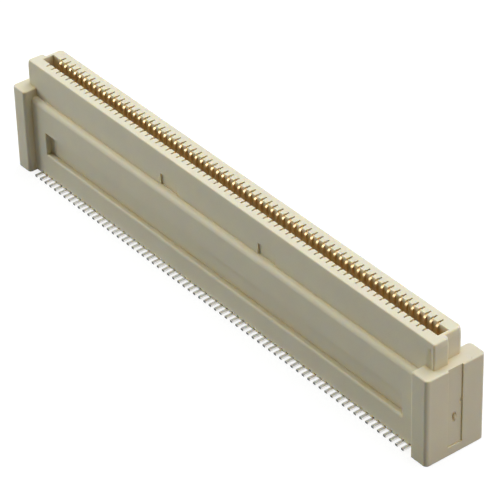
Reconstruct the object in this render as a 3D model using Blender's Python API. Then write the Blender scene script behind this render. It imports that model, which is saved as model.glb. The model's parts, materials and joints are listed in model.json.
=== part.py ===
"""Tall receptacle half of a 0.6 mm pitch board-to-board connector for surface mounting.

One moulded housing carries two rows of formed contacts. Its lower wall lifts a keyed shroud
above the board, and the shroud's two long walls are slotted for the contact beams, which face
each other across the mating cavity.

Sizes are in millimetres and the model is built in metres. +X runs along the rows, -Y is the
near side, where the shroud is longer, and +Z points away from the board. The origin lies on
the board under the middle of the housing.
"""

from math import sin, tan

import bmesh
import bpy
from mathutils import Vector

MM = 0.001

# Contact rows
PITCH = 0.60
POSITIONS = 70                  # contacts in each row
SEPARATE_POSITIONS = 29         # middle positions whose contacts are pieces of their own

# Contact strip
STRIP_THICKNESS = 0.15
BEAM_WIDTH = 0.18
FOOT_WIDTH = 0.24
STRIP_CLEARANCE = 0.02          # between the strip and the channel it is pressed into
FOOT_REACH = 2.48               # middle plane to the tip of a foot
STEM_REACH = 0.84               # middle plane to the middle of a stem
BEND_LENGTH = 0.20              # how far before and above the corner the foot bends
CREST_DEPTH = 0.19              # how far a beam's crest stands into the cavity
CREST_DROP = 0.50               # rim to the top of the crest
CREST_LENGTH = 0.24             # the flat of the crest that rubs on the plug
TIP_DROP = 0.19                 # rim to the end of the beam
TIP_BACK = 0.20                 # how far the tip turns back from the crest
ROOT_RISE = 0.10                # straight stem above the floor of the slot

# Lower wall between the end blocks
WALL_WIDTH = 3.77
WALL_HEIGHT = 6.10              # board to the ledge
WALL_LIFT = 0.22                # board to the underside of the wall
LEDGE_RADIUS = 0.15
NOTCH_HEIGHT = 0.14             # cut into the wall's lower edge over each foot

# End blocks
BLOCK_LENGTH = 1.53
BLOCK_WIDTH = 4.96
BLOCK_HEIGHT = 6.90
BLOCK_MARGIN = 0.79             # last contact to the inner face of a block
BLOCK_CORNER = 0.28
BLOCK_INNER_CORNER = 0.15
BLOCK_TOP_RADIUS = 0.12

# Shroud above the ledge
SHROUD_WIDTH = 2.70
SHROUD_HEIGHT = 8.93            # board to the rim
NEAR_END_SETBACK = 0.60         # outer end of a block to the shroud's near half
KEY_STEP = 0.40                 # the far half is shorter than the near half by this
KEY_LINE = -0.13                # where the two halves meet across the width
NEAR_CORNER = 0.14
FAR_CORNER = 0.32
RIM_TAPER_HEIGHT = 0.42         # just under the rim the faces lean in, to lead into the plug
RIM_TAPER_DEPTH = 0.06
RIM_RADIUS = 0.05

# Shallow guide channel down the shroud's near face, close to its right end
GUIDE_MARGIN = 0.16             # end of the shroud's near half to the channel
GUIDE_WIDTH = 0.64
GUIDE_DEPTH = 0.11

# Mating cavity
CAVITY_WIDTH = 0.92
CAVITY_MARGIN = 1.00            # last contact to the end of the cavity
CAVITY_DEPTH = 2.43
SLOT_SILL = 0.20                # cavity floor to the floor of a slot

# Long relief along both sides of the wall
RELIEF_MARGIN = 0.76            # last contact back to the end of the relief
RELIEF_LOW = 2.13
RELIEF_HIGH = 3.98
RELIEF_DEPTH = 0.45

# Two windows at the foot of the shroud's near face
WINDOW_CENTRE = 5.47
WINDOW_LENGTH = 1.67
WINDOW_SILL = 0.20              # above the ledge
WINDOW_HEIGHT = 0.86
WINDOW_DEPTH = 0.20

# Channel down the outer face of each end block, which keeps the moulding gate below the face
CHANNEL_WIDTH = 1.32
CHANNEL_LOW = 0.65
CHANNEL_DEPTH = 0.18

# Worked out from the values above
CUT = 0.5                       # how far a cutter runs past the face it opens
CORNER_SHARE = 0.8              # a rim's rounding is at most this share of a corner it runs round
LAST_CONTACT = (POSITIONS - 1) * PITCH / 2
BLOCK_INNER = LAST_CONTACT + BLOCK_MARGIN
HALF_LENGTH = BLOCK_INNER + BLOCK_LENGTH
NEAR_END = HALF_LENGTH - NEAR_END_SETBACK
TAPER_START = SHROUD_HEIGHT - RIM_TAPER_HEIGHT
CAVITY_END = LAST_CONTACT + CAVITY_MARGIN
CAVITY_FLOOR = SHROUD_HEIGHT - CAVITY_DEPTH
SLOT_FLOOR = CAVITY_FLOOR + SLOT_SILL
CHANNEL_NEAR = STEM_REACH - STRIP_THICKNESS / 2 - STRIP_CLEARANCE
CHANNEL_FAR = STEM_REACH + STRIP_THICKNESS / 2 + STRIP_CLEARANCE
NEAR, FAR = -1, 1


def clear_scene():
    for obj in list(bpy.data.objects):
        bpy.data.objects.remove(obj, do_unlink=True)


def material(name, colour, roughness, metallic):
    made = bpy.data.materials.new(name)
    made.use_nodes = True
    shader = made.node_tree.nodes["Principled BSDF"]
    shader.inputs["Base Color"].default_value = (*colour, 1.0)
    shader.inputs["Roughness"].default_value = roughness
    shader.inputs["Metallic"].default_value = metallic
    return made


def add_object(name, bm, finish):
    """Turn a bmesh into an object with its faces pointing outwards."""
    bmesh.ops.recalc_face_normals(bm, faces=bm.faces)
    mesh = bpy.data.meshes.new(name)
    bm.to_mesh(mesh)
    bm.free()
    mesh.materials.append(finish)
    obj = bpy.data.objects.new(name, mesh)
    bpy.context.collection.objects.link(obj)
    return obj


def add_tool(name, bm, finish):
    """An object that only shapes the housing, and is no piece of its own."""
    tool = add_object(name, bm, finish)
    tool.hide_render = True
    tool.display_type = "WIRE"
    return tool


def combine(target, tool, operation):
    modifier = target.modifiers.new(tool.name, "BOOLEAN")
    modifier.operation = operation
    modifier.object = tool
    modifier.solver = "EXACT"


def rounded(corners, steps=3):
    """A plan outline from (x, y, radius) corners, with an arc wherever the radius isn't zero."""
    outline = []
    for index, (x, y, radius) in enumerate(corners):
        here = Vector((x, y))
        if radius == 0:
            outline.append(here)
            continue
        before = (Vector(corners[index - 1][:2]) - here).normalized()
        after = (Vector(corners[(index + 1) % len(corners)][:2]) - here).normalized()
        half_angle = before.angle(after) / 2
        centre = here + (before + after).normalized() * radius / sin(half_angle)
        start = here + before * radius / tan(half_angle) - centre
        end = here + after * radius / tan(half_angle) - centre
        arc = [start.slerp(end, step / steps) for step in range(steps + 1)]
        outline += [centre + direction * radius for direction in arc]
    return outline


def extrude(bm, corners, run):
    """A closed prism: the face through the corners, carried along the run."""
    base = bm.faces.new([bm.verts.new(Vector(corner) * MM) for corner in corners])
    grown = bmesh.ops.extrude_face_region(bm, geom=[base])["geom"]
    moved = [item for item in grown if isinstance(item, bmesh.types.BMVert)]
    bmesh.ops.translate(bm, verts=moved, vec=Vector(run) * MM)


def stand(bm, outline, low, high):
    """A prism that stands on a plan outline, from one height to another."""
    extrude(bm, [(x, y, low) for x, y in outline], (0, 0, high - low))


def skin(bm, rings):
    """A closed solid through rings of corners in metres, which all have the same number."""
    rings = [[bm.verts.new(corner) for corner in ring] for ring in rings]
    for ring, following in zip(rings, rings[1:]):
        for index in range(len(ring)):
            ahead = (index + 1) % len(ring)
            bm.faces.new((ring[index], ring[ahead], following[ahead], following[index]))
    bm.faces.new(rings[0])
    bm.faces.new(rings[-1])


def block(bm, x_range, y_range, z_range):
    (left, right), (front, back) = x_range, y_range
    stand(bm, [(left, front), (right, front), (right, back), (left, back)], *z_range)


def slab(bm, profile, x, width):
    """A prism along X through a (y, z) profile, centred on x."""
    extrude(bm, [(x - width / 2, y, z) for y, z in profile], (width, 0, 0))


def round_edges(bm, chosen, radius, steps=2):
    edges = [edge for edge in bm.edges if chosen(edge)]
    bmesh.ops.bevel(bm, geom=edges, offset=radius * MM, segments=steps, profile=0.5, affect="EDGES")


def at_height(height):
    """A test for the edges that lie wholly at one height."""
    return lambda edge: all(abs(vert.co.z - height * MM) < 1e-6 for vert in edge.verts)


def position_x(index):
    return -LAST_CONTACT + index * PITCH


def is_separate(index):
    first = (POSITIONS - SEPARATE_POSITIONS) // 2
    return first <= index < first + SEPARATE_POSITIONS


# Contacts

def contact_line():
    """The middle line of a contact, from foot to tip: reach from the middle plane, height, width."""
    board = STRIP_THICKNESS / 2
    crest = CAVITY_WIDTH / 2 - CREST_DEPTH + STRIP_THICKNESS / 2
    crest_top = SHROUD_HEIGHT - CREST_DROP
    return [
        (FOOT_REACH, board, FOOT_WIDTH),
        (STEM_REACH + BEND_LENGTH, board, FOOT_WIDTH),
        (STEM_REACH, board + BEND_LENGTH, BEAM_WIDTH),
        (STEM_REACH, SLOT_FLOOR + ROOT_RISE, BEAM_WIDTH),
        (crest, crest_top - CREST_LENGTH, BEAM_WIDTH),
        (crest, crest_top, BEAM_WIDTH),
        (crest + TIP_BACK, SHROUD_HEIGHT - TIP_DROP, BEAM_WIDTH),
    ]


def across(before, after):
    """The mitred half thickness at a bend between two directions."""
    normal = Vector((-before.y, before.x))
    mitre = (normal + Vector((-after.y, after.x))).normalized()
    return mitre * (STRIP_THICKNESS / 2) / mitre.dot(normal)


def add_contact(bm, x, side):
    """One bent strip: a rectangle swept along the contact's middle line."""
    line = contact_line()
    points = [Vector(station[:2]) for station in line]
    runs = [(end - start).normalized() for start, end in zip(points, points[1:])]
    rings = []
    for index, (point, station) in enumerate(zip(points, line)):
        offset = across(runs[max(index - 1, 0)], runs[min(index, len(runs) - 1)])
        half_width = station[2] / 2
        ring = []
        for sign_x, sign_offset in ((-1, -1), (1, -1), (1, 1), (-1, 1)):
            reach, height = point + offset * sign_offset
            ring.append(Vector((x + sign_x * half_width, side * reach, height)) * MM)
        rings.append(ring)
    skin(bm, rings)


def make_separate_contacts(finish):
    for row, side in (("near", NEAR), ("far", FAR)):
        for index in range(POSITIONS):
            if is_separate(index):
                bm = bmesh.new()
                add_contact(bm, position_x(index), side)
                add_object(f"contact_{row}_{index + 1:02d}", bm, finish)


def fused_contacts(finish):
    """The contacts of the other positions, which are joined to the housing."""
    bm = bmesh.new()
    for side in (NEAR, FAR):
        for index in range(POSITIONS):
            if not is_separate(index):
                add_contact(bm, position_x(index), side)
    return add_tool("fused_contacts", bm, finish)


# Housing

def end_block(name, side, finish):
    """A foot block. Its outer corners are well rounded in plan, its inner ones barely."""
    half_width = BLOCK_WIDTH / 2
    inner, outer = side * BLOCK_INNER, side * HALF_LENGTH
    outline = rounded([
        (inner, -half_width, BLOCK_INNER_CORNER),
        (outer, -half_width, BLOCK_CORNER),
        (outer, half_width, BLOCK_CORNER),
        (inner, half_width, BLOCK_INNER_CORNER),
    ])
    bm = bmesh.new()
    stand(bm, outline, 0, BLOCK_HEIGHT)
    round_edges(bm, at_height(BLOCK_HEIGHT), min(BLOCK_TOP_RADIUS, CORNER_SHARE * BLOCK_INNER_CORNER))
    return add_tool(name, bm, finish)


def shroud_section(height, inset):
    """The keyed plan of the shroud, drawn in by an inset: its near half is longer than its far half."""
    near_end = NEAR_END - inset
    far_end = near_end - KEY_STEP
    key_line = KEY_LINE - inset
    near_face, far_face = -SHROUD_WIDTH / 2 + inset, SHROUD_WIDTH / 2 - inset
    right_side = [
        (near_end, near_face, NEAR_CORNER),
        (near_end, key_line, NEAR_CORNER),
        (far_end, key_line, 0),
        (far_end, far_face, FAR_CORNER),
    ]
    left_side = [(-x, y, radius) for x, y, radius in reversed(right_side)]
    return [Vector((*place, height)) * MM for place in rounded(right_side + left_side)]


def guide_channel(finish):
    bm = bmesh.new()
    face = -SHROUD_WIDTH / 2
    outer = NEAR_END - GUIDE_MARGIN
    block(bm, (outer - GUIDE_WIDTH, outer), (face - CUT, face + GUIDE_DEPTH), (0, TAPER_START))
    return add_tool("guide_channel", bm, finish)


def shroud(finish):
    """The keyed shroud. Its guide channel is cut before it is joined, so it ends on the block."""
    bm = bmesh.new()
    skin(bm, [
        shroud_section(WALL_HEIGHT / 2, 0),
        shroud_section(TAPER_START, 0),
        shroud_section(SHROUD_HEIGHT, RIM_TAPER_DEPTH),
    ])
    round_edges(bm, at_height(SHROUD_HEIGHT), min(RIM_RADIUS, CORNER_SHARE * NEAR_CORNER))
    tool = add_tool("shroud", bm, finish)
    combine(tool, guide_channel(finish), "DIFFERENCE")
    return tool


def cavity(finish):
    bm = bmesh.new()
    half_width = CAVITY_WIDTH / 2
    block(bm, (-CAVITY_END, CAVITY_END), (-half_width, half_width), (CAVITY_FLOOR, SHROUD_HEIGHT + CUT))
    return add_tool("cavity", bm, finish)


def side_reliefs(finish):
    bm = bmesh.new()
    relief_end = LAST_CONTACT - RELIEF_MARGIN
    floor = WALL_WIDTH / 2 - RELIEF_DEPTH
    for side in (NEAR, FAR):
        depth = sorted((side * floor, side * (floor + RELIEF_DEPTH + CUT)))
        block(bm, (-relief_end, relief_end), depth, (RELIEF_LOW, RELIEF_HIGH))
    return add_tool("side_reliefs", bm, finish)


def shroud_windows(finish):
    bm = bmesh.new()
    face = -SHROUD_WIDTH / 2
    low = WALL_HEIGHT + WINDOW_SILL
    for side in (-1, 1):
        middle = side * WINDOW_CENTRE
        length = (middle - WINDOW_LENGTH / 2, middle + WINDOW_LENGTH / 2)
        block(bm, length, (face - CUT, face + WINDOW_DEPTH), (low, low + WINDOW_HEIGHT))
    return add_tool("shroud_windows", bm, finish)


def end_channels(finish):
    bm = bmesh.new()
    half_width = CHANNEL_WIDTH / 2
    for side in (-1, 1):
        length = sorted((side * (HALF_LENGTH - CHANNEL_DEPTH), side * (HALF_LENGTH + CUT)))
        block(bm, length, (-half_width, half_width), (CHANNEL_LOW, BLOCK_HEIGHT + CUT))
    return add_tool("end_channels", bm, finish)


def contact_slots(finish):
    """A slot behind each beam and, where the contact is a piece of its own, its channel."""
    bm = bmesh.new()
    mouth = CAVITY_WIDTH / 2 - CREST_DEPTH
    top = SHROUD_HEIGHT + CUT
    width = BEAM_WIDTH + 2 * STRIP_CLEARANCE
    for side in (NEAR, FAR):
        for index in range(POSITIONS):
            if is_separate(index):
                lower = [(CHANNEL_NEAR, SLOT_FLOOR), (CHANNEL_NEAR, 0), (CHANNEL_FAR, 0)]
            else:
                lower = [(CHANNEL_FAR, SLOT_FLOOR)]
            profile = [(mouth, top), (mouth, SLOT_FLOOR), *lower, (CHANNEL_FAR, top)]
            slab(bm, [(side * reach, height) for reach, height in profile], position_x(index), width)
    return add_tool("contact_slots", bm, finish)


def foot_notches(finish):
    """The groove in the underside that each foot runs out through."""
    bm = bmesh.new()
    width = FOOT_WIDTH + 2 * STRIP_CLEARANCE
    roof = WALL_LIFT + NOTCH_HEIGHT
    outside = WALL_WIDTH / 2 + CUT
    inside = CHANNEL_NEAR - STRIP_CLEARANCE
    profile = [(inside, -CUT), (outside, -CUT), (outside, roof), (inside, roof)]
    for side in (NEAR, FAR):
        for index in range(POSITIONS):
            slab(bm, [(side * reach, height) for reach, height in profile], position_x(index), width)
    return add_tool("foot_notches", bm, finish)


def make_housing(finish):
    bm = bmesh.new()
    half_width = WALL_WIDTH / 2
    wall_end = BLOCK_INNER + BLOCK_LENGTH / 2
    block(bm, (-wall_end, wall_end), (-half_width, half_width), (WALL_LIFT, WALL_HEIGHT))
    at_ledge = at_height(WALL_HEIGHT)
    round_edges(bm, lambda edge: at_ledge(edge) and edge.calc_length() > BLOCK_INNER * MM, LEDGE_RADIUS)
    housing = add_object("housing", bm, finish)
    for tool in (end_block("left_block", -1, finish), end_block("right_block", 1, finish), shroud(finish)):
        combine(housing, tool, "UNION")
    for cutter in (cavity, side_reliefs, shroud_windows, end_channels, contact_slots, foot_notches):
        combine(housing, cutter(finish), "DIFFERENCE")
    combine(housing, fused_contacts(finish), "UNION")
    return housing


def main():
    clear_scene()
    resin = material("beige_resin", (0.74, 0.69, 0.54), 0.5, 0.0)
    gold = material("gold_plate", (0.83, 0.62, 0.25), 0.25, 1.0)
    make_housing(resin)
    make_separate_contacts(gold)


main()
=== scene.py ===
# %% [markdown]
# A tall surface-mount receptacle, dressed.
#
# The object is one half of a board-to-board connector, 46 mm long. A beige moulded housing
# stands on the board on two end blocks. Between them a long wall carries a slotted shroud, and
# 140 small contacts run from solder feet under the wall to springs inside the shroud.
#
# The frame holds the plain solids at their real size. This lesson models the surfaces that the
# eye sees, with the tools of edit mode, and gives each its own finish.

# %% Load the frame
import json
from math import cos, radians, sin

import bmesh
import bpy
from mathutils import Matrix, Vector

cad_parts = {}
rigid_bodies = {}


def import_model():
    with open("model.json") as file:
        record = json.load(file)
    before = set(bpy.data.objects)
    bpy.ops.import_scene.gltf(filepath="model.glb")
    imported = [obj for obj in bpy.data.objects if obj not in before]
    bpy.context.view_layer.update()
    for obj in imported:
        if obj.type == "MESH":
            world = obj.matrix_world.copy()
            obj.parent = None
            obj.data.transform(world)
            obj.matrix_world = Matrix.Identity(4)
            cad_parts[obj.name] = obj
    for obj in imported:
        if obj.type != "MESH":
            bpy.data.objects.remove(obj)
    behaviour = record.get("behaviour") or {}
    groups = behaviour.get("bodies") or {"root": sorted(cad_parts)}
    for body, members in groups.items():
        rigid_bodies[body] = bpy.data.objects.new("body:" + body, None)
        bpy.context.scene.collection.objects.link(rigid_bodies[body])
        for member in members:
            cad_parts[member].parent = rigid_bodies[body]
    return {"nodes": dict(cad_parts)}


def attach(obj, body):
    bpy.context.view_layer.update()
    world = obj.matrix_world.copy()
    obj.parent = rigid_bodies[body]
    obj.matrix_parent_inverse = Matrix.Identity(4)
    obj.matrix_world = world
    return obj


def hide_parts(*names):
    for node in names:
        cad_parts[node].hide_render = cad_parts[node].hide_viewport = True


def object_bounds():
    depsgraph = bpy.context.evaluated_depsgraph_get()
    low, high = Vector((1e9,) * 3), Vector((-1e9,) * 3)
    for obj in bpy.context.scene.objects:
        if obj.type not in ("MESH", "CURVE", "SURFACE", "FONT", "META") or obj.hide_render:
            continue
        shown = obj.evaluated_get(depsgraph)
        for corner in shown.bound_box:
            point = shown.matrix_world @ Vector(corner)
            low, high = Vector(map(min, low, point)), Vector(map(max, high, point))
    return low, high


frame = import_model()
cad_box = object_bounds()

print("nodes in the frame:", len(frame["nodes"]))

# %% [markdown]
# Small objects are easier to think about in millimetres, while Blender's unit here is the metre.
# So every size below is written in millimetres and multiplied by MM where a tool needs metres.
#
# The overall sizes come from the frame. The others are the driving sizes of the moulding, and
# each is written once. Heights are counted from the board.

# %% Sizes of the moulding
MM = 0.001
half_length = cad_box[1][0] / MM
half_width = cad_box[1][1] / MM
rim_height = cad_box[1][2] / MM

pitch = 0.60
positions = 70
last_contact = (positions - 1) * pitch / 2

wall_half_width = 1.885
wall_height = 6.28
wall_lift = 0.08
block_length = 1.53
block_height = 6.90
block_inner = half_length - block_length

shroud_half_width = 1.38
near_end = half_length - 0.60
far_end = near_end - 0.40
key_line = -0.13
lean_height, round_height = 0.40, 0.10
lean_start = rim_height - lean_height - round_height
cavity_near, cavity_far = 0.47, 0.42
cavity_end = last_contact + 1.0
cavity_floor = rim_height - 2.43
slot_floor = cavity_floor + 0.20

stem_reach = 0.84
strip_thickness = 0.15
beam_width = 0.18
foot_width = 0.24
strip_clearance = 0.02
slot_back = 0.885

print("length in mm:", round(2 * half_length, 2))
print("width in mm:", round(2 * half_width, 2))
print("height in mm:", round(rim_height, 2))

# %% [markdown]
# Edit mode works on what is selected, so every tool starts from a clean selection. These helpers
# do what a hand does with the mouse: add a cube at its size and place, enter edit mode, and pick
# faces or edges. They are picked by a test on their place, which keeps working when a size
# changes, while an index would not.

# %% Helpers: add, pick, leave
def deselect_all():
    bpy.ops.object.select_all(action="DESELECT")


def make_active(piece):
    deselect_all()
    piece.select_set(True)
    bpy.context.view_layer.objects.active = piece


def add_block(name, low, high):
    """Adds a cube primitive between two opposite corners, and bakes its place into its mesh."""
    deselect_all()
    low, high = Vector(low) * MM, Vector(high) * MM
    bpy.ops.mesh.primitive_cube_add(size=1, location=(low + high) / 2)
    piece = bpy.context.object
    piece.name = name
    piece.scale = high - low
    bpy.ops.object.transform_apply(location=True, rotation=False, scale=True)
    return piece


def edit(piece, kind):
    """Enters edit mode on a piece, in FACE, EDGE or VERT mode, with nothing selected."""
    make_active(piece)
    bpy.ops.object.mode_set(mode="EDIT")
    bpy.ops.mesh.select_mode(type=kind)
    bpy.ops.mesh.select_all(action="DESELECT")


def pick(piece, kind, test):
    """Selects the faces, edges or vertices whose corners all pass the test, and nothing else."""
    bpy.ops.mesh.select_all(action="DESELECT")
    bm = bmesh.from_edit_mesh(piece.data)
    elements = {"FACE": bm.faces, "EDGE": bm.edges, "VERT": bm.verts}[kind]
    count = 0
    for element in elements:
        corners = [element] if kind == "VERT" else element.verts
        if all(test(*(corner.co / MM)) for corner in corners):
            element.select_set(True)
            count += 1
    bm.select_flush_mode()
    bmesh.update_edit_mesh(piece.data)
    return count


def leave():
    bpy.ops.object.mode_set(mode="OBJECT")


def near(value, target, slack=0.002):
    return abs(value - target) < slack


# %% [markdown]
# Rounding comes next, because no moulded edge is perfectly sharp. Edges are picked, and the bevel
# tool replaces each by a strip of short faces. The strip catches a thin line of light, and that
# line is what makes a plain block read as a moulded one.

# %% Helper: round the picked edges
def round_edges(piece, test, radius, steps):
    edit(piece, "EDGE")
    count = pick(piece, "EDGE", test)
    bpy.ops.mesh.bevel(offset=radius * MM, segments=steps, profile=0.5, affect="EDGES", loop_slide=False)
    leave()
    return count


def round_upright(piece, at_x, at_y, radius, steps):
    """Rounds the one upright edge that stands at this place in plan."""
    return round_edges(piece, lambda x, y, z: near(x, at_x) and near(y, at_y), radius, steps)


# %% [markdown]
# The camera first, because it decides how much detail each part needs. The photograph was taken
# with a long lens from about 200 mm, above the near right end: the object's far end looks hardly
# smaller than its near end. Its place was worked out from the contact pitch, which is the same all
# along the rows. The last number turns the camera a little about its own line of sight.

# %% Camera
camera_place = Vector((131.243, -98.530, 119.888)) * MM
camera_look = Vector((-0.648926, 0.494044, -0.578632))
camera_roll = radians(-1.614)
lens_px, frame_px = 2919.1, 500

camera_data = bpy.data.cameras.new("camera")
camera_data.sensor_width = 36
camera_data.lens = 36 * lens_px / frame_px
camera_data.clip_start = 0.01
camera_data.clip_end = 20
camera = bpy.data.objects.new("camera", camera_data)
bpy.context.collection.objects.link(camera)
aim = camera_look.to_track_quat("-Z", "Y").to_matrix()
roll = Matrix.Rotation(camera_roll, 3, "Z")
camera.matrix_world = Matrix.Translation(camera_place) @ (aim @ roll).to_4x4()
bpy.context.scene.camera = camera
print("lens in mm:", round(camera_data.lens, 1), "distance in mm:", round(camera_place.length / MM))

# %% [markdown]
# The studio is a plain floor that runs on to a plain pale background. In the photograph the
# background is pure white, yet the upright faces are as bright at the bottom as at the top, so
# little light comes up from below. The Light Path node settles that: for the camera and for
# reflections the floor is lifted to white, and still takes the object's soft shadow, while the
# light that bounces on to matt surfaces comes from a dull floor.
#
# The background works the same way. Polished metal shows what stands round it, so reflections see
# a bright studio, and the faint light on matt surfaces is a number of its own.

# %% Floor and background
floor_size = 3.0
floor_albedo = 0.30
floor_lift = 0.80
world_strength = 0.03
world_reflected = 0.70

deselect_all()
bpy.ops.mesh.primitive_plane_add(size=floor_size, location=(0, 0, 0))
floor = bpy.context.object
floor.name = "floor"

floor_paint = bpy.data.materials.new("floor_paint")
floor_paint.use_nodes = True
nodes, links = floor_paint.node_tree.nodes, floor_paint.node_tree.links
nodes.clear()
diffuse = nodes.new("ShaderNodeBsdfDiffuse")
diffuse.inputs["Color"].default_value = (floor_albedo, floor_albedo, floor_albedo, 1)
glow = nodes.new("ShaderNodeEmission")
path = nodes.new("ShaderNodeLightPath")
looks = nodes.new("ShaderNodeMath")
looks.operation = "ADD"
lift = nodes.new("ShaderNodeMath")
lift.operation = "MULTIPLY"
lift.inputs[1].default_value = floor_lift
both = nodes.new("ShaderNodeAddShader")
output = nodes.new("ShaderNodeOutputMaterial")
links.new(path.outputs["Is Camera Ray"], looks.inputs[0])
links.new(path.outputs["Is Glossy Ray"], looks.inputs[1])
links.new(looks.outputs[0], lift.inputs[0])
links.new(lift.outputs[0], glow.inputs["Strength"])
links.new(diffuse.outputs[0], both.inputs[0])
links.new(glow.outputs[0], both.inputs[1])
links.new(both.outputs[0], output.inputs["Surface"])
floor.data.materials.append(floor_paint)

world = bpy.data.worlds.new("studio")
bpy.context.scene.world = world
world.use_nodes = True
nodes, links = world.node_tree.nodes, world.node_tree.links
sky = nodes["Background"]
path = nodes.new("ShaderNodeLightPath")
seen = nodes.new("ShaderNodeMath")
seen.operation = "MULTIPLY_ADD"
seen.inputs[1].default_value = world_reflected
links.new(path.outputs["Is Glossy Ray"], seen.inputs[0])
links.new(path.outputs["Is Camera Ray"], seen.inputs[2])
strength = nodes.new("ShaderNodeMath")
strength.operation = "MAXIMUM"
strength.inputs[1].default_value = world_strength
links.new(seen.outputs[0], strength.inputs[0])
links.new(strength.outputs[0], sky.inputs["Strength"])
sky.inputs["Color"].default_value = (1, 1, 1, 1)
print("floor", floor_size, "m wide")

# %% [markdown]
# The photograph tells where its lamps stood. The rim and the ledge are bright, so there are two
# large lamps above, one of them well back. The side of the left block that faces the rows is dark
# and shades a millimetre of the wall, so the long side is lit by a lamp on the left that almost
# grazes it. A weaker, warmer lamp on the right lights the end face. Their strengths were fitted to
# the brightness of some eighty places on the object.

# %% Lamps
def add_lamp(name, place, size, power, colour=(1, 1, 1)):
    lamp_data = bpy.data.lights.new(name, "AREA")
    lamp_data.shape = "DISK"
    lamp_data.size = size
    lamp_data.energy = power
    lamp_data.color = colour
    lamp = bpy.data.objects.new(name, lamp_data)
    lamp.location = place
    lamp.rotation_euler = (-Vector(place)).to_track_quat("-Z", "Y").to_euler()
    bpy.context.collection.objects.link(lamp)
    return lamp


lamps = [
    add_lamp("overhead_lamp", (0.03, 0.06, 0.60), 0.45, 1.98, (0.98, 1.0, 1.0)),
    add_lamp("back_lamp", (-0.05, 0.35, 0.50), 0.40, 1.48, (0.78, 0.86, 1.0)),
    add_lamp("left_lamp", (-0.355, -0.173, 0.144), 0.30, 1.14, (0.96, 1.0, 1.0)),
    add_lamp("right_lamp", (0.41, 0.15, 0.115), 0.20, 0.58, (1.0, 0.94, 0.92)),
]

scene = bpy.context.scene
scene.view_settings.view_transform = "Standard"
print("lamps:", [lamp.name for lamp in lamps])

# %% [markdown]
# The housing is moulded from a heat-proof resin filled with fine glass fibre. Its surface is matt
# but not dead: the fibres give a very fine grain, the flow of the melt leaves faint clouds, and the
# gloss changes a little from place to place. All of it is built from noise on Object coordinates,
# at scales that suit a body a few millimetres thick.
#
# Roughness and bump come from the same grain, so where the surface is rough it also looks rough.
#
# The resin also lets light in a little way. That softens the small forms: an edge glows just below a
# bright face, and a narrow groove turns brown instead of black, because red light travels furthest
# in it. Subsurface scattering does this, and its scale is the distance in the real material.
#
# In a corner or a hollow the colour is painted darker and browner, as painted shade: it stands in for
# light that has met the resin several times before it leaves. The Ambient Occlusion node tells how
# closed in a place is, and the colour goes from the open one to the painted shade colour by that.
# Between the gold springs the walls get a painted golden shade, which stands in for the dim light that
# the springs reflect on to them. That painted tint is laid on by place: inside the cavity, and growing
# over half a millimetre below the rim.

# %% Finish: moulded resin
resin_colour = (0.80, 0.735, 0.55)
# Painted shade: the darker, browner colour laid on corners and hollows.
painted_corner_shade_colour = (0.70, 0.58, 0.33)
# Painted shade on the cavity walls, tinted by the light that the gold springs reflect on to them.
painted_gold_shade_colour = (0.66, 0.50, 0.25)
cloud_scale, grain_scale = 0.35, 14
grain_height = 0.004
resin_roughness = (0.42, 0.58)
light_reach = 0.15
# Reach and range of the painted corner shade.
painted_shade_reach = 0.50
painted_shade_range = (0.30, 0.95)
# Where the painted golden shade lies: inside the cavity, and deeper below the rim.
gold_shade_half_width = 0.62
gold_shade_start, gold_shade_full = rim_height - 0.03, rim_height - 0.50
gold_shade_end = cavity_floor - 0.05


def new_finish(name):
    """A material with its Principled shader, and the Object coordinates that every pattern reads."""
    finish = bpy.data.materials.new(name)
    finish.use_nodes = True
    shader = finish.node_tree.nodes["Principled BSDF"]
    place = finish.node_tree.nodes.new("ShaderNodeTexCoord")
    return finish, finish.node_tree, shader, place.outputs["Object"]


def noise(tree, place, scale, detail):
    """Noise whose scale is given in cycles for each millimetre."""
    texture = tree.nodes.new("ShaderNodeTexNoise")
    texture.inputs["Scale"].default_value = scale / MM
    texture.inputs["Detail"].default_value = detail
    tree.links.new(place, texture.inputs["Vector"])
    return texture.outputs["Fac"]


def remap(tree, value, low, high, from_low=0.3, from_high=0.7):
    """Spreads a value over low to high. A noise value mostly lies between 0.3 and 0.7."""
    mapped = tree.nodes.new("ShaderNodeMapRange")
    mapped.inputs["From Min"].default_value = from_low
    mapped.inputs["From Max"].default_value = from_high
    mapped.inputs["To Min"].default_value = low
    mapped.inputs["To Max"].default_value = high
    tree.links.new(value, mapped.inputs["Value"])
    return mapped.outputs["Result"]


def mix(tree, amount, first, second):
    """Mixes two colours. Each is a socket or three numbers."""
    mixer = tree.nodes.new("ShaderNodeMix")
    mixer.data_type = "RGBA"
    tree.links.new(amount, mixer.inputs["Factor"])
    for socket, colour in (("A", first), ("B", second)):
        target = [entry for entry in mixer.inputs if entry.name == socket and entry.type == "RGBA"][0]
        if isinstance(colour, tuple):
            target.default_value = (*colour, 1)
        else:
            tree.links.new(colour, target)
    return [entry for entry in mixer.outputs if entry.type == "RGBA"][0]


def tint(colour, factor):
    return tuple(channel * factor for channel in colour)


def math_node(tree, operation, value, other=0.0):
    """One step of arithmetic on a value. The other operand is a number or a socket."""
    step = tree.nodes.new("ShaderNodeMath")
    step.operation = operation
    tree.links.new(value, step.inputs[0])
    if isinstance(other, float):
        step.inputs[1].default_value = other
    else:
        tree.links.new(other, step.inputs[1])
    return step.outputs[0]


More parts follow.
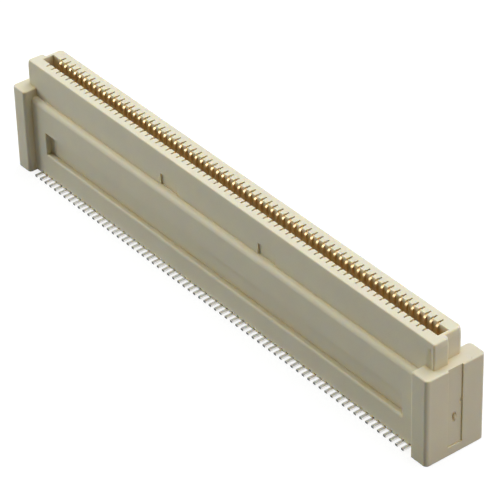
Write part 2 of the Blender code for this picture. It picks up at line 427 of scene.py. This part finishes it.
def make_resin():
    finish, tree, shader, place = new_finish("moulded_resin")
    clouds = noise(tree, place, cloud_scale, 3)
    grain = noise(tree, place, grain_scale, 2)
    base = mix(tree, remap(tree, clouds, 0, 1), tint(resin_colour, 0.97), tint(resin_colour, 1.02))
    base = mix(tree, remap(tree, grain, 0, 0.25), base, tint(resin_colour, 0.9))
    # Painted shade: the colour darkens and browns where the Ambient Occlusion node finds the place
    # closed in.
    hollow = tree.nodes.new("ShaderNodeAmbientOcclusion")
    hollow.samples = 8
    hollow.only_local = True
    hollow.inputs["Distance"].default_value = painted_shade_reach * MM
    base = mix(tree, remap(tree, hollow.outputs["AO"], 0, 1, *painted_shade_range), painted_corner_shade_colour, base)
    # Painted golden shade and painted gold reflection on the cavity walls, growing over half a
    # millimetre below the rim.
    split = tree.nodes.new("ShaderNodeSeparateXYZ")
    tree.links.new(place, split.inputs[0])
    inside = remap(tree, split.outputs["Z"], 1, 0, gold_shade_full * MM, gold_shade_start * MM)
    for axis, limit in (("X", cavity_end), ("Y", gold_shade_half_width)):
        aside = math_node(tree, "ABSOLUTE", split.outputs[axis])
        within = math_node(tree, "LESS_THAN", aside, limit * MM)
        inside = math_node(tree, "MULTIPLY", inside, within)
    in_cavity = math_node(tree, "GREATER_THAN", split.outputs["Z"], gold_shade_end * MM)
    base = mix(tree, math_node(tree, "MULTIPLY", inside, in_cavity), base, painted_gold_shade_colour)
    tree.links.new(base, shader.inputs["Base Color"])
    tree.links.new(remap(tree, grain, *resin_roughness), shader.inputs["Roughness"])
    bump = tree.nodes.new("ShaderNodeBump")
    bump.inputs["Strength"].default_value = 0.25
    bump.inputs["Distance"].default_value = grain_height * MM
    tree.links.new(grain, bump.inputs["Height"])
    tree.links.new(bump.outputs["Normal"], shader.inputs["Normal"])
    shader.inputs["Specular IOR Level"].default_value = 0.2
    shader.inputs["Subsurface Weight"].default_value = 1.0
    shader.inputs["Subsurface Radius"].default_value = (1.0, 0.8, 0.45)
    shader.inputs["Subsurface Scale"].default_value = light_reach * MM
    return finish


resin = make_resin()
print("finish:", resin.name)

# %% [markdown]
# The contacts are stamped from a copper alloy strip and plated: gold where they rub on the plug,
# tin where they are soldered. The border between the two platings lies out of sight inside the
# housing, so a mask on height can switch between them. A third mask shows the cut end of each foot,
# which was sheared from the strip after plating and is bare metal. Its near-black tone is painted shade.

# %% Finish: plated contacts
gold_colour = (0.84, 0.64, 0.36)
tin_colour = (0.88, 0.87, 0.85)
# The cut end's colour: bare metal, with its near-black tone painted shade.
bare_metal_and_shade_colour = (0.14, 0.145, 0.14)
plating_roughness = (0.36, 0.52)
streak_scale = 5
plating_border = 3.0
cut_depth = 0.012


def make_plating():
    finish, tree, shader, place = new_finish("plated_strip")
    split = tree.nodes.new("ShaderNodeSeparateXYZ")
    tree.links.new(place, split.inputs[0])
    reach = math_node(tree, "ABSOLUTE", split.outputs["Y"])
    is_gold = math_node(tree, "GREATER_THAN", split.outputs["Z"], plating_border * MM)
    is_cut = math_node(tree, "GREATER_THAN", reach, (half_width - cut_depth) * MM)
    streaks = noise(tree, place, streak_scale, 3)
    gold = mix(tree, remap(tree, streaks, 0, 1), tint(gold_colour, 0.9), gold_colour)
    tin = mix(tree, remap(tree, streaks, 0, 1), tint(tin_colour, 0.85), tin_colour)
    plated = mix(tree, is_gold, tin, gold)
    # The cut end takes the bare metal colour, whose near-black tone is painted shade.
    tree.links.new(mix(tree, is_cut, plated, bare_metal_and_shade_colour), shader.inputs["Base Color"])
    tree.links.new(remap(tree, streaks, *plating_roughness), shader.inputs["Roughness"])
    shader.inputs["Metallic"].default_value = 1.0
    return finish


plating = make_plating()
print("finish:", plating.name)

# %% [markdown]
# Now the housing. It is one moulding, but it is easiest to think of as four plain forms that are
# joined: the lower wall, a block at each end, and the shroud. Each form is shaped and rounded while
# it is still simple, and only then are they united.
#
# The lower wall is lifted a little off the board, so that the solder feet can run out under it. Its
# upper edges are rounded more than its lower ones.

# %% Lower wall
ledge_radius, foot_radius = 0.40, 0.04
wall_half_length = block_inner + block_length / 2
wall = add_block(
    "moulded_housing",
    (-wall_half_length, -wall_half_width, wall_lift),
    (wall_half_length, wall_half_width, wall_height),
)
for y_side in (-wall_half_width, wall_half_width):
    round_edges(wall, lambda x, y, z: near(z, wall_height) and near(y, y_side), ledge_radius, 7)
    round_edges(wall, lambda x, y, z: near(z, wall_lift) and near(y, y_side), foot_radius, 2)
print("faces on the wall:", len(wall.data.polygons))

# %% [markdown]
# The end blocks stand on the board and are wider than the wall. Their upright edges have generous
# radii, all but one: the right block meets the wall's near side in an edge that is almost sharp, and
# it shows as a thin light line. The top edges are barely softened.

# %% End blocks
block_outer_radius, block_far_radius, block_top_radius = 0.30, 0.35, 0.10
block_near_radius = {-1: 0.25, 1: 0.11}


def add_end_block(name, side):
    ends = sorted((side * block_inner, side * half_length))
    block = add_block(name, (ends[0], -half_width, 0), (ends[1], half_width, block_height))
    for y in (-half_width, half_width):
        round_upright(block, side * half_length, y, block_outer_radius, 6)
    round_upright(block, side * block_inner, -half_width, block_near_radius[side], 5)
    round_upright(block, side * block_inner, half_width, block_far_radius, 6)
    round_edges(block, lambda x, y, z: near(z, block_height), block_top_radius, 4)
    return block


blocks = [add_end_block("left_block", -1), add_end_block("right_block", 1)]
print("faces on one block:", len(blocks[0].data.polygons))

# %% [markdown]
# The shroud has a key: its near half is longer than its far half, so the plug can only enter one
# way round. It starts as the far half. The face towards us is extruded to make the near half, and
# then the ends of the near half are pulled outwards.
#
# The extrusions leave edges that run across flat faces. The bevel tool would round those too, so a
# limited dissolve first removes every edge between two faces that lie in one plane.
#
# Nearly every form below is drawn out of a smaller one, so extruding gets a short helper.

# %% Shroud with its key
shroud_foot = wall_height / 2
near_half_depth = key_line + shroud_half_width
key_step = near_end - far_end


def extrude(move):
    """Extrudes what is selected by a move in millimetres."""
    bpy.ops.mesh.extrude_region_move(TRANSFORM_OT_translate={"value": Vector(move) * MM})


shroud = add_block("shroud", (-far_end, key_line, shroud_foot), (far_end, shroud_half_width, lean_start))
edit(shroud, "FACE")
pick(shroud, "FACE", lambda x, y, z: near(y, key_line))
extrude((0, -near_half_depth, 0))
for side in (-1, 1):
    pick(shroud, "FACE", lambda x, y, z: near(x, side * far_end) and y < key_line + 0.01)
    extrude((side * key_step, 0, 0))
bpy.ops.mesh.select_all(action="SELECT")
bpy.ops.mesh.dissolve_limited(angle_limit=radians(0.5))
leave()
print("faces on the shroud:", len(shroud.data.polygons))

# %% [markdown]
# Now the upright corners are rounded, each with its own radius. The shroud so far ends half a
# millimetre below its real height. From there it leans in, first hardly at all and then more, and
# ends in a rounded rim, which leads it into its plug. Its top face is extruded up in short steps and
# scaled a little smaller after each, more at the ends than at the sides.

# %% Round the shroud and draw in its rim
lean_steps = ((0.15, 0.008), (0.30, 0.021), (lean_height, 0.033))
round_inset, round_steps = 0.08, 4
end_factor = 1.6
far_corner_radius, near_corner_radius = 0.32, 0.14

for side in (-1, 1):
    round_upright(shroud, side * far_end, shroud_half_width, far_corner_radius, 7)
    round_upright(shroud, side * near_end, -shroud_half_width, near_corner_radius, 5)
    round_upright(shroud, side * near_end, key_line, near_corner_radius, 4)
rim_steps = list(lean_steps)
lean_inset = lean_steps[-1][1]
for step in range(1, round_steps + 1):
    turn = radians(90) * step / round_steps
    rise = lean_height + round_height * sin(turn)
    rim_steps.append((rise, lean_inset + round_inset * (1 - cos(turn))))

edit(shroud, "FACE")
pick(shroud, "FACE", lambda x, y, z: near(z, lean_start))
rise, inset = 0, 0
for next_rise, next_inset in rim_steps:
    extrude((0, 0, next_rise - rise))
    shrink_x = (near_end - end_factor * next_inset) / (near_end - end_factor * inset)
    shrink_y = (shroud_half_width - next_inset) / (shroud_half_width - inset)
    centre = (0, 0, (lean_start + next_rise) * MM)
    bpy.ops.transform.resize(value=(shrink_x, shrink_y, 1), center_override=centre)
    rise, inset = next_rise, next_inset
leave()
print("steps in the rim:", len(rim_steps), "faces on the shroud:", len(shroud.data.polygons))

# %% [markdown]
# Forms are joined and cut with Boolean modifiers. Each is applied at once, so the result is one
# mesh, and the tool is then deleted, because only its shape was needed.

# %% Helper: join and cut
def combine(target, tool, operation):
    """Applies a Boolean between two pieces and removes the tool."""
    make_active(target)
    modifier = target.modifiers.new(tool.name, "BOOLEAN")
    modifier.operation = operation
    modifier.object = tool
    bpy.ops.object.modifier_apply(modifier=modifier.name)
    bpy.data.objects.remove(tool)


# %% [markdown]
# Every hollow in a moulding is the print of a steel core. The cores are modelled the same way: a
# block of the hollow's size, whose outer end flares in a quarter round before it leaves the surface.
# The flare rounds the mouth of the hollow, and the eye needs that for the soft bright line along the
# lower lip of each recess. It is made by short extrusions that are scaled wider each time. Scaled
# about its middle, the mouth grows on both sides. Scaled about one side, it grows only on the other.

# %% Helper: a core with a flared mouth
core_overrun = 0.4


def add_core(name, low, high, outward, flare, steps=3, hold=(0, 0, 0)):
    """A block from low to high, whose outward end widens by flare along X, Y and Z up to the surface.
    The side that hold names stays sharp, and the other side takes its flare."""
    outward = Vector(outward)
    along = Vector([abs(value) for value in outward])
    low, high, flare = Vector(low), Vector(high), Vector(flare)
    middle, span = (low + high) / 2, high - low
    surface = middle.dot(outward) + span.dot(along) / 2
    depth = flare.dot(along)
    core = add_block(name, low, high)
    edit(core, "FACE")
    pick(core, "FACE", lambda x, y, z: near(Vector((x, y, z)).dot(outward), surface))
    bpy.ops.transform.translate(value=outward * -depth * MM)
    width, rise = 0, 0
    for step in range(1, steps + 1):
        turn = radians(90) * step / steps
        next_width, next_rise = 1 - cos(turn), sin(turn)
        extrude(outward * depth * (next_rise - rise))
        growth = [1, 1, 1]
        for axis in range(3):
            if not along[axis]:
                before = span[axis] + 2 * flare[axis] * width
                growth[axis] = (span[axis] + 2 * flare[axis] * next_width) / before
        held = Vector([hold[axis] * span[axis] / 2 for axis in range(3)])
        centre = (middle + held + outward * (span.dot(along) / 2 - depth * (1 - next_rise))) * MM
        bpy.ops.transform.resize(value=growth, center_override=centre)
        width, rise = next_width, next_rise
    extrude(outward * core_overrun)
    leave()
    return core


# %% [markdown]
# A very shallow guide channel runs down the near face of the shroud close to its right end. Its
# left side is a long ramp, so its core is flared in one straight step, and held on its right side.
# The flare starts a hundredth of a millimetre above the core's inner end. If it started at the end
# itself, the core would have no thickness there, and the Boolean would have no closed body to cut
# with. The channel is cut while the shroud is still a form of its own, so that the core may run on
# below the end block's top. The four forms are joined after that.

# %% Guide channel, then join the forms
guide_inner, guide_outer = near_end - 0.44, near_end - 0.16
guide_ramp = 0.36
guide_depth, guide_upright = 0.055, 0.01
guide_core = add_core(
    "guide_core",
    (guide_inner, -shroud_half_width, shroud_foot - core_overrun),
    (guide_outer, -shroud_half_width + guide_depth, lean_start),
    (0, -1, 0), (guide_ramp / 2, guide_depth - guide_upright, 0.03), 1, hold=(1, 0, 0),
)
combine(shroud, guide_core, "DIFFERENCE")

housing = wall
for form in (*blocks, shroud):
    combine(housing, form, "UNION")
print("faces on the joined body:", len(housing.data.polygons))

# %% [markdown]
# First the mating cavity, open at the rim. A small flare at its mouth guides the plug in. Then the
# long relief on each side of the wall, which keeps the plastic evenly thick so that it cools without
# sinking. It gets the widest flare, held at its upper side: the upper lip stays sharp and dark, and
# the lower lip catches the light. Last come the two small windows at the foot of the shroud's near
# face.

# %% Cavity, reliefs and windows
cavity_flare = (0.04, 0.04, 0.10)
cavity_core = add_core(
    "cavity_core",
    (-cavity_end, -cavity_near, cavity_floor),
    (cavity_end, cavity_far, rim_height),
    (0, 0, 1), cavity_flare,
)
combine(housing, cavity_core, "DIFFERENCE")

relief_end = last_contact - 0.76
relief_low, relief_high = 2.10, 3.98
relief_depth = 0.45
relief_flare = (0.08, 0.14, 0.11)
for side in (-1, 1):
    across = sorted((side * (wall_half_width - relief_depth), side * wall_half_width))
    core = add_core(
        "relief_core",
        (-relief_end, across[0], relief_low), (relief_end, across[1], relief_high),
        (0, side, 0), relief_flare, 4, hold=(0, 0, 1),
    )
    combine(housing, core, "DIFFERENCE")

window_centre, window_length = 5.45, 1.87
window_low, window_high = wall_height + 0.02, wall_height + 0.88
window_depth = 0.12
small_flare = (0.02, 0.03, 0.02)
for side in (-1, 1):
    middle = side * window_centre
    core = add_core(
        "window_core",
        (middle - window_length / 2, -shroud_half_width, window_low),
        (middle + window_length / 2, -shroud_half_width + window_depth, window_high),
        (0, -1, 0), small_flare,
    )
    combine(housing, core, "DIFFERENCE")
print("faces after the big cores:", len(housing.data.polygons))

# %% [markdown]
# Each end face has a shallow channel that is open at the top. The melt enters the mould in one of
# them, and the channel keeps the broken gate stub below the face.

# %% End channels
channel_near, channel_far = 0.65, 0.60
channel_low = 0.65
channel_depth = 0.12
channel_floor = half_length - channel_depth
for side in (-1, 1):
    ends = sorted((side * channel_floor, side * half_length))
    core = add_core(
        "channel_core",
        (ends[0], -channel_near, channel_low),
        (ends[1], channel_far, block_height + core_overrun),
        (side, 0, 0), small_flare,
    )
    combine(housing, core, "DIFFERENCE")
print("channel floor at x =", round(channel_floor, 2))

# %% [markdown]
# In the right channel the gate was torn off when the mould opened. It left a small crater with a
# ragged stub in it, and a bit higher a burr on the channel's edge. Both start as a ball, which is
# squeezed to its size and made ragged by moving its points a little at random. The seed keeps the
# result the same in every run. A moulding flaw no wider than a hair, on the block's top, is made by
# the same helper. Each line of the list gives a lump's name, its centre, its radii, how ragged it
# is, and whether it is cut away or added.

# %% Gate mark, burr and flaw
def add_lump(name, centre, radii, raggedness):
    """A ragged ball with these radii in millimetres."""
    deselect_all()
    bpy.ops.mesh.primitive_ico_sphere_add(subdivisions=3, radius=1, location=Vector(centre) * MM)
    lump = bpy.context.object
    lump.name = name
    lump.scale = Vector(radii) * MM
    bpy.ops.object.transform_apply(location=True, rotation=False, scale=True)
    edit(lump, "VERT")
    bpy.ops.mesh.select_all(action="SELECT")
    bpy.ops.transform.vertex_random(offset=raggedness * MM, seed=4)
    leave()
    return lump


lumps = [
    ("gate_crater", (channel_floor, -0.05, 2.90), (0.14, 0.22, 0.42), 0.020, "DIFFERENCE"),
    ("gate_stub", (channel_floor - 0.07, 0.06, 2.80), (0.10, 0.10, 0.24), 0.020, "UNION"),
    ("burr_hollow", (channel_floor, 0.46, 4.00), (0.05, 0.10, 0.16), 0.012, "DIFFERENCE"),
    ("burr", (half_length - 0.035, 0.70, 4.16), (0.045, 0.13, 0.06), 0.010, "UNION"),
    ("flaw", (half_length - 0.14, 1.38, block_height), (0.035, 0.035, 0.03), 0.004, "DIFFERENCE"),
]
for name, centre, radii, raggedness, operation in lumps:
    combine(housing, add_lump(name, centre, radii, raggedness), operation)
print("faces with the gate mark:", len(housing.data.polygons))

# %% [markdown]
# Every contact stands in a slot that opens into the cavity and the rim. Where the spring moves, the
# slot is as wide as the strip. Behind it the slot is narrower, and that part shows as a fine dark
# stroke on the rim. One slot core is modelled: a block, whose back is inset from both sides and drawn
# out. It is then copied along both rows. All the copies are joined into one tool, because one
# Boolean with many bodies is much quicker than many Booleans.

# %% Contact slots
def position_x(index):
    return -last_contact + index * pitch


def copy_to(model, name, x, side):
    """A copy with its own mesh, moved along the row, and turned about the middle for the far row."""
    piece = model.copy()
    piece.data = model.data.copy()
    piece.name = name
    piece.data.name = name
    bpy.context.collection.objects.link(piece)
    if side > 0:
        piece.data.transform(Matrix.Rotation(radians(180), 4, "Z"))
    piece.data.transform(Matrix.Translation((x * MM, 0, 0)))
    return piece


def cut_at_every_contact(target, model):
    copies = []
    for side in (-1, 1):
        copies += [copy_to(model, "core", position_x(index), side) for index in range(positions)]
    bpy.data.objects.remove(model)
    deselect_all()
    for piece in copies:
        piece.select_set(True)
    bpy.context.view_layer.objects.active = copies[0]
    bpy.ops.object.join()
    combine(target, copies[0], "DIFFERENCE")


slot_width = beam_width + 2 * strip_clearance
slot_front = cavity_far - 0.15
stroke_width, stroke_start = 0.13, 0.60
shoulder = 0.04
slot_core = add_block(
    "slot_core",
    (-slot_width / 2, -stroke_start, slot_floor),
    (slot_width / 2, -slot_front, rim_height + core_overrun),
)
edit(slot_core, "FACE")
pick(slot_core, "FACE", lambda x, y, z: near(y, -stroke_start))
extrude((0, -shoulder, 0))
narrowing = (stroke_width / slot_width, 1, 1)
bpy.ops.transform.resize(value=narrowing, center_override=(0, -stroke_start * MM, 0))
extrude((0, stroke_start + shoulder - slot_back, 0))
leave()
cut_at_every_contact(housing, slot_core)
print("slots:", 2 * positions, "faces now:", len(housing.data.polygons))

# %% [markdown]
# Where a foot leaves the wall there is a small notch in the wall's lower edge. It shows as a dark
# spot over each foot.

# %% Foot notches
notch_width = foot_width + 2 * strip_clearance
notch_roof = wall_lift + 0.19
notch_core = add_block(
    "notch_core",
    (-notch_width / 2, -wall_half_width - core_overrun, -core_overrun),
    (notch_width / 2, -stem_reach + strip_thickness, notch_roof),
)
cut_at_every_contact(housing, notch_core)
print("faces with the notches:", len(housing.data.polygons))

# %% [markdown]
# Flat faces should look flat and rounded edges round. Shading smooth by angle blends only where two
# faces meet at a shallow angle. On its own it would still bend the light on a long flat face next to
# a rounding, so a Weighted Normal modifier follows: it lets the big faces decide at a shared edge, and
# the small strips do all the turning. Then the finished housing takes the place of the plain one.

# %% Finish the housing
edge_angle = radians(32)
make_active(housing)
bpy.ops.object.shade_smooth_by_angle(angle=edge_angle)
normals = housing.modifiers.new("weighted_normals", "WEIGHTED_NORMAL")
normals.keep_sharp = True
bpy.ops.object.modifier_apply(modifier=normals.name)
housing.data.materials.clear()
housing.data.materials.append(resin)
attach(housing, "root")
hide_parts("housing")
print("housing done, faces:", len(housing.data.polygons))

# %% [markdown]
# A contact is one strip of metal, bent in a press. It is modelled the way it is made: a short flat
# piece is the tip of the foot, and its end edge is drawn out along straight runs and spun round
# each bend. The spin tool turns the selected edge about a centre, and leaves the new edge selected,
# ready for the next run. It counts its angle clockwise, so the angle is given with a minus sign.
#
# From the tip of the foot the strip runs in under the wall, bends up into the stem, leans inwards as
# the spring, and turns back at the crest that touches the plug.

# %% Contact: the path of the strip
foot_bend_radius = 0.20
lean_angle, lean_radius = 17.05, 0.6
crest_radius, crest_turn = 0.22, 68
crest_reach = 0.345
tip_run = 0.17
lean = radians(lean_angle)
bend_radii = lean_radius + crest_radius
lean_shift = stem_reach - crest_reach
lean_run = (lean_shift - bend_radii * (1 - cos(lean))) / sin(lean)
root_height = slot_floor + 0.07
foot_middle = strip_thickness / 2
stem_run = root_height - foot_middle - foot_bend_radius
crest_height = root_height + bend_radii * sin(lean) + lean_run * cos(lean)
print("lean run in mm:", round(lean_run, 2), "crest at a height of:", round(crest_height, 2))

# %% [markdown]
# The path is followed like a pen on paper: the pen keeps its place and its heading, a run goes
# straight on, and a bend turns about a centre at its side. Everything happens in the plane across
# the rows, where Y points into the housing for the near row and Z points up.

# %% Contact: draw and thicken the strip
class Pen:
    """The end edge of the strip: where it is and where it is heading, in the YZ plane."""

    def __init__(self, y, z):
        self.y, self.z, self.heading = y, z, 0.0

    def run(self, length):
        move = Vector((0, cos(self.heading), sin(self.heading))) * length
        extrude(move)
        self.y += move.y
        self.z += move.z

    def bend(self, degrees, radius, steps):
        """Turns the strip by an angle, to the left of its heading where it is positive."""
        side = 1 if degrees > 0 else -1
        centre_y = self.y - side * radius * sin(self.heading)
        centre_z = self.z + side * radius * cos(self.heading)
        turn = radians(degrees)
        bpy.ops.mesh.spin(
            steps=steps, angle=-turn, center=(0, centre_y * MM, centre_z * MM), axis=(1, 0, 0),
        )
        self.heading += turn
        self.y = centre_y + side * radius * sin(self.heading)
        self.z = centre_z - side * radius * cos(self.heading)


def make_contact():
    start_run = 0.30
    start = Vector((0, -half_width + start_run / 2, foot_middle))
    deselect_all()
    bpy.ops.mesh.primitive_plane_add(size=1, location=start * MM)
    strip = bpy.context.object
    strip.name = "strip_model"
    strip.scale = (foot_width * MM, start_run * MM, 1)
    bpy.ops.object.transform_apply(location=True, rotation=False, scale=True)
    edit(strip, "EDGE")
    pen = Pen(-half_width + start_run, foot_middle)
    pick(strip, "EDGE", lambda x, y, z: near(y, pen.y))
    pen.run(half_width - start_run - stem_reach - foot_bend_radius)
    pen.bend(90, foot_bend_radius, 3)
    narrowing = (beam_width / foot_width, 1, 1)
    bpy.ops.transform.resize(value=narrowing, center_override=(0, pen.y * MM, pen.z * MM))
    pen.run(stem_run)
    pen.bend(-lean_angle, lean_radius, 2)
    pen.run(lean_run)
    pen.bend(lean_angle + crest_turn, crest_radius, 5)
    pen.run(tip_run)
    leave()
    solid = strip.modifiers.new("thickness", "SOLIDIFY")
    solid.thickness = strip_thickness * MM
    solid.offset = 0
    solid.use_even_offset = True
    bpy.ops.object.modifier_apply(modifier=solid.name)
    bpy.ops.object.shade_smooth_by_angle(angle=edge_angle)
    strip.data.materials.append(plating)
    print("tip of the beam at", round(pen.y, 3), round(pen.z, 3), "faces:", len(strip.data.polygons))
    return strip


strip_model = make_contact()

# %% [markdown]
# The one contact is copied into every slot of both rows. The frame holds some of the contacts as
# solids of their own, and each of those is replaced by the piece that stands in its place. The
# others are part of the frame's housing, which is already replaced.

# %% Contacts in their rows
placed = 0
for row, side in (("near", -1), ("far", 1)):
    for index in range(positions):
        contact = copy_to(strip_model, f"{row}_contact_{index + 1:02d}", position_x(index), side)
        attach(contact, "root")
        solid_name = f"contact_{row}_{index + 1:02d}"
        if solid_name in frame["nodes"]:
            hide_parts(solid_name)
        placed += 1
bpy.data.objects.remove(strip_model)
print("contacts placed:", placed)

# %% [markdown]
# Last, the overall box of the frame is printed.

# %% Frame box
print("frame box:", cad_box)
